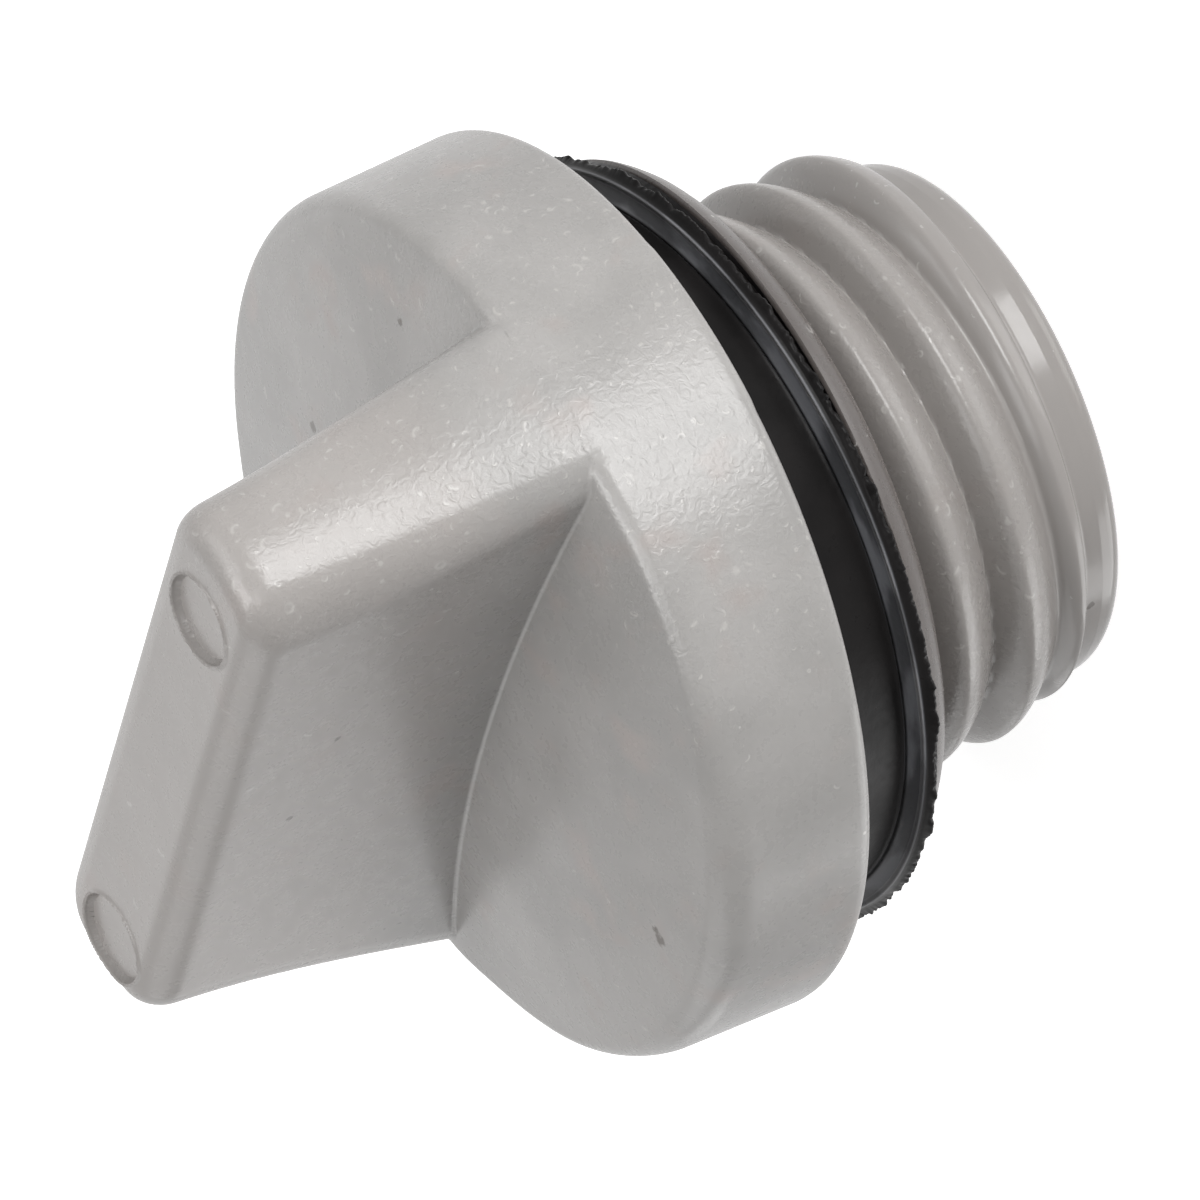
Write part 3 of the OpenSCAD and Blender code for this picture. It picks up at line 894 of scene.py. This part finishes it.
def buildThreadTree():
    tree, source, result = startTree("threadedStem", threadShape)
    mesh, angle, radius, threaded, height = addTurning(tree, source["Geometry"], source["Steps"])
    turn = calc(tree, "DIVIDE", angle, 2 * math.pi)
    level = calc(tree, "DIVIDE", calc(tree, "SUBTRACT", height, source["Start Height"]), source["Pitch"])
    lift = 0.0
    for turns in turnsOfThread:
        # The first turn is sunk into the stem, so it is lower and narrower, and lies closer to the next one.
        along = calc(tree, "ADD", turn, float(turns))
        started = smooth(tree, along, source["First From"], source["First To"])
        first = times(tree, started, source["First Height"])
        full = smooth(tree, along, source["Full From"], source["Full To"])
        grown = calc(tree, "MULTIPLY_ADD", full, calc(tree, "SUBTRACT", 1.0, first), first)
        shift = times(tree, calc(tree, "SUBTRACT", 1.0, grown), source["First Shift"])
        away = calc(tree, "SUBTRACT", level, along)
        away = calc(tree, "SUBTRACT", away, calc(tree, "DIVIDE", shift, source["Pitch"]))
        lean = times(tree, source["Skew"], -0.5)
        width = calc(tree, "MULTIPLY_ADD", calc(tree, "SIGN", away), lean, 0.5)
        away = calc(tree, "DIVIDE", calc(tree, "ABSOLUTE", away), width)
        ridge = calc(tree, "SUBTRACT", grown, calc(tree, "POWER", away, source["Crest Power"]))
        lift = calc(tree, "SMOOTH_MAX", lift, ridge, source["Ridge Join"])
    low = calc(tree, "SUBTRACT", source["Plain Height"], source["Plain Fade"])
    lift = times(tree, lift, smooth(tree, height, low, source["Plain Height"]))
    ridged = calc(tree, "ADD", times(tree, lift, source["Ridge Depth"]), source["Root Radius"])
    ridged = calc(tree, "SMOOTH_MAX", radius, ridged, source["Root Join"])
    onThread = calc(tree, "GREATER_THAN", threaded, 0.5 * mm)
    radius = calc(tree, "MULTIPLY_ADD", calc(tree, "SUBTRACT", ridged, radius), onThread, radius)
    closeTurning(tree, mesh, angle, radius, height, source, result)
    return tree


def bakeTree(name, outline, tree, inputs, material):
    mesh = bpy.data.meshes.new(name + "Outline")
    points = [(r * mm, w * mm, z * mm) for r, w, z in outline]
    mesh.from_pydata(points, [(i, i + 1) for i in range(len(points) - 1)], [])
    holder = bpy.data.objects.new(name + "Holder", mesh)
    scene.collection.objects.link(holder)
    modifier = holder.modifiers.new("shape", "NODES")
    modifier.node_group = tree
    values = dict(inputs, Material=material)
    for item in tree.interface.items_tree:
        if item.in_out == "INPUT" and item.name in values:
            modifier[item.identifier] = values[item.name]
    bpy.context.view_layer.update()
    ready = holder.evaluated_get(bpy.context.evaluated_depsgraph_get())
    baked = bpy.data.meshes.new_from_object(ready)
    holder.modifiers.clear()
    bpy.data.objects.remove(holder)
    shape = bmesh.new()
    shape.from_mesh(baked)
    bpy.data.meshes.remove(baked)
    return finishMesh(shape, name, material)


capStem = bakeTree("capStem", stemOutline(stemShape), buildThreadTree(), threadShape, mouldedGrey)

# Seal ring: a smooth band and a lip whose thin edge is torn.
sealShape = {
    "inner": 11.03,
    "low": 10.12,
    "top": 13.48,
    "lipStart": 12.2,
    "lip": (  # radius, share and height: the share is of the shift and tilt up to 1, past 1 of the tear
        (12.66, 0, 10.125), (12.86, 0.3, 10.2), (13.02, 1.3, 10.4), (13.14, 1.8, 10.47), (13.22, 2, 10.51),
        (13.27, 2, 10.55), (13.285, 1.95, 10.6), (13.27, 1.5, 10.66), (13.22, 1.1, 10.73), (13.17, 1, 10.79),
        (13.15, 1, 10.85), (13.15, 1, 10.9), (13.145, 1, 10.95), (13.125, 1, 10.985), (13.09, 1, 11.0),
        (13.05, 1, 10.995), (13.01, 1, 10.985), (12.97, 1, 10.99), (12.9, 1, 11.02), (12.82, 1, 11.065),
        (12.74, 1, 11.11), (12.66, 1, 11.16), (12.58, 1, 11.215), (12.52, 1, 11.255), (12.47, 1, 11.27),
        (12.43, 1, 11.255), (12.395, 0.98, 11.25), (12.37, 0.96, 11.28), (12.36, 0.92, 11.36),
    ),
    "band": 12.36,
    "bandFoot": 11.45,
    "bandShare": 0.9,
    "bandTop": 12.5,
    "bandRows": (0, 0.15, 0.3, 0.5, 0.7, 0.9),
    "innerRows": (12.5, 11.2),
}
tearShape = {  # the named inputs of its tree, in metres
    "Steps": 1200,
    "Tear Depth": 0.8 * mm,
    "Tear Size": 900.0,
    "Tear Drop": -0.35,
    "Ring Radius": 0.0132,
    "Shift": (-0.424 * mm, 0.088 * mm, 0),  # the lip is a little off the middle
    "Tilt": (-0.261 * mm, 0.491 * mm, 0),  # and out of true
    "Limit": 0.2 * mm,
    "Limit Join": 0.0002,
    "Flap": 0.28 * mm,
    "Flap Angle": math.radians(230),
    "Flap Half Width": 0.35,
    "Flap Core": 0.12,
    "Seed": 4,
    "Seed Step": 0.37,
}


def sealOutline(size):
    inner, low, top, foot = size["inner"], size["low"], size["top"], size["bandFoot"]
    points = [(inner, 0, low), (size["lipStart"], 0, low)] + list(size["lip"])
    for t in size["bandRows"]:
        radius = size["band"] + (size["bandTop"] - size["band"]) * t
        points.append((radius, size["bandShare"] - size["bandShare"] * t, foot + (top - foot) * t))
    points += [(size["bandTop"], 0, top), (inner, 0, top)]
    return points + [(inner, 0, z) for z in size["innerRows"] + (low,)]


def buildTearTree():
    tree, source, result = startTree("tornLip", tearShape)
    mesh, angle, radius, share, height = addTurning(tree, source["Geometry"], source["Steps"])
    level = addNode(
        tree, "GeometryNodeStoreNamedAttribute", {"data_type": "FLOAT", "domain": "POINT"}, Name="level",
        Geometry=mesh, Value=height,
    )
    share = calc(tree, "DIVIDE", share, mm)
    around = joined(tree, calc(tree, "COSINE", angle), calc(tree, "SINE", angle), 0.0)
    seed = joined(tree, 0.0, 0.0, times(tree, source["Seed"], source["Seed Step"]))
    ring = vectorCalc(tree, "ADD", scaled(tree, around, source["Ring Radius"]), seed)
    rough = noise(tree, ring, source["Tear Size"], 4.0, Roughness=0.72)
    bite = times(tree, calc(tree, "SUBTRACT", rough, 0.5), source["Tear Depth"])
    flapFar = calc(tree, "ABSOLUTE", calc(tree, "SUBTRACT", angle, source["Flap Angle"]))
    onFlap = smooth(tree, flapFar, source["Flap Half Width"], source["Flap Core"])
    bite = calc(tree, "MULTIPLY_ADD", onFlap, source["Flap"], bite)
    bite = times(tree, bite, smooth(tree, share, 1.0, 2.0))
    whole = calc(tree, "MINIMUM", share, 1.0)

    def moved(value, name, biteShare):
        move = vectorCalc(tree, "DOT_PRODUCT", around, source[name])
        move = calc(tree, "SMOOTH_MIN", move, source["Limit"], source["Limit Join"])
        return calc(tree, "MULTIPLY_ADD", move, whole, calc(tree, "MULTIPLY_ADD", bite, biteShare, value))

    radius = moved(radius, "Shift", 1.0)
    height = moved(height, "Tilt", source["Tear Drop"])
    closeTurning(tree, level.outputs[0], angle, radius, height, source, result)
    return tree


sealRing = bakeTree("sealRing", sealOutline(sealShape), buildTearTree(), tearShape, oiledRubber)

for piece, node, slot in (
    (capHead, "filler_cap", "grey_plastic"), (capStem, "filler_cap", "grey_plastic"),
    (sealRing, "seal_ring", "black_rubber"),
):
    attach(piece, "root")
    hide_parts(node)
print("pieces placed")

# Floor and light.
floorLook = {"size": 3.0, "drop": 0.00005, "color": (0.8, 0.8, 0.8, 1), "glow": 0.8}
white = (1, 1, 1, 1)
ambient = {"color": white, "strength": 0.12}
middle = Vector((0, 0, 0.016))
lampDefaults = {"along": (0, 1, 0), "far": 0.5, "size": (0.24, 0.24)}
lamps = {
    "key": {"toward": (0.965, -0.02, -0.19), "size": (0.28, 0.30), "watts": 2.2},
    "top": {"toward": (0.21, 0, 0.98), "watts": 0.98},
    "back": {"toward": (0.33, 0.43, 0.84), "watts": 0.38},
    "front": {"toward": (0.56, -0.36, 0.75), "watts": 0.42},
    "under": {"toward": (-0.36, -0.67, -0.65), "size": (0.3, 0.3), "watts": 0.68},
    "low": {"toward": (0.35, 0, -0.93), "watts": 0.31},
    "left": {"toward": (-0.78, -0.40, 0.45), "along": (0, 0, 1), "size": (0.3, 0.3), "watts": 0.27},
    "near": {
        "toward": (-0.905, -0.405, -0.128), "along": (0, 0, 1), "far": 0.091,
        "size": (0.026, 0.03), "watts": 0.0024,
    },
    "behind": {
        "toward": (-0.70, 0.55, 0.45), "along": (0, 0, 1), "far": 0.6, "size": (0.4, 0.4), "watts": 0.2,
    },
}


def seenDirectly(tree):  # 1 for what the camera sees, also in a reflection or through glass
    path = tree.nodes.new("ShaderNodeLightPath").outputs
    mirrored = calc(tree, "MAXIMUM", path["Is Glossy Ray"], path["Is Transmission Ray"])
    return calc(tree, "MAXIMUM", path["Is Camera Ray"], mirrored)


def buildFloor(look):
    half = look["size"] / 2
    mesh = bpy.data.meshes.new("floor")
    corners = [(-half, -half), (half, -half), (half, half), (-half, half)]
    mesh.from_pydata([(x, y, -look["drop"]) for x, y in corners], [], [(0, 1, 2, 3)])
    material, tree, shader = newMaterial("paleFloor", {
        "Base Color": look["color"], "Roughness": 1.0, "Specular IOR Level": 0.0, "Emission Color": white,
    })
    feed(tree, shader.inputs["Emission Strength"], times(tree, seenDirectly(tree), look["glow"]))
    mesh.materials.append(material)
    floor = bpy.data.objects.new("floor", mesh)
    scene.collection.objects.link(floor)
    floor.visible_shadow = False  # some of the lamps stand below the floor's level
    floor.visible_glossy = False


def buildWorld(light):
    world = bpy.data.worlds.new("studio")
    world.use_nodes = True
    scene.world = world
    tree = world.node_tree
    background = tree.nodes["Background"]
    seen = seenDirectly(tree)
    feed(tree, background.inputs["Color"], mixColor(tree, seen, light["color"], white))
    strength = addNode(tree, "ShaderNodeMapRange", Value=seen, To_Min=light["strength"], To_Max=1.0)
    feed(tree, background.inputs["Strength"], strength.outputs["Result"])


def buildLamp(name, lamp):
    light = bpy.data.lights.new(name, "AREA")
    light.shape = "RECTANGLE"
    light.size, light.size_y = lamp["size"]
    light.energy = lamp["watts"]
    piece = bpy.data.objects.new(name, light)
    aim = unit(lamp["toward"])
    side = unit(lamp["along"])
    side = (side - aim * side.dot(aim)).normalized()
    piece.matrix_world = placeAndTurn(middle + aim * lamp["far"], side, aim.cross(side), aim)
    piece.visible_camera = False
    scene.collection.objects.link(piece)


buildFloor(floorLook)
buildWorld(ambient)
for name, lamp in lamps.items():
    buildLamp(name, {**lampDefaults, **lamp})
scene.view_settings.view_transform = "Standard"
print("stage and light set")
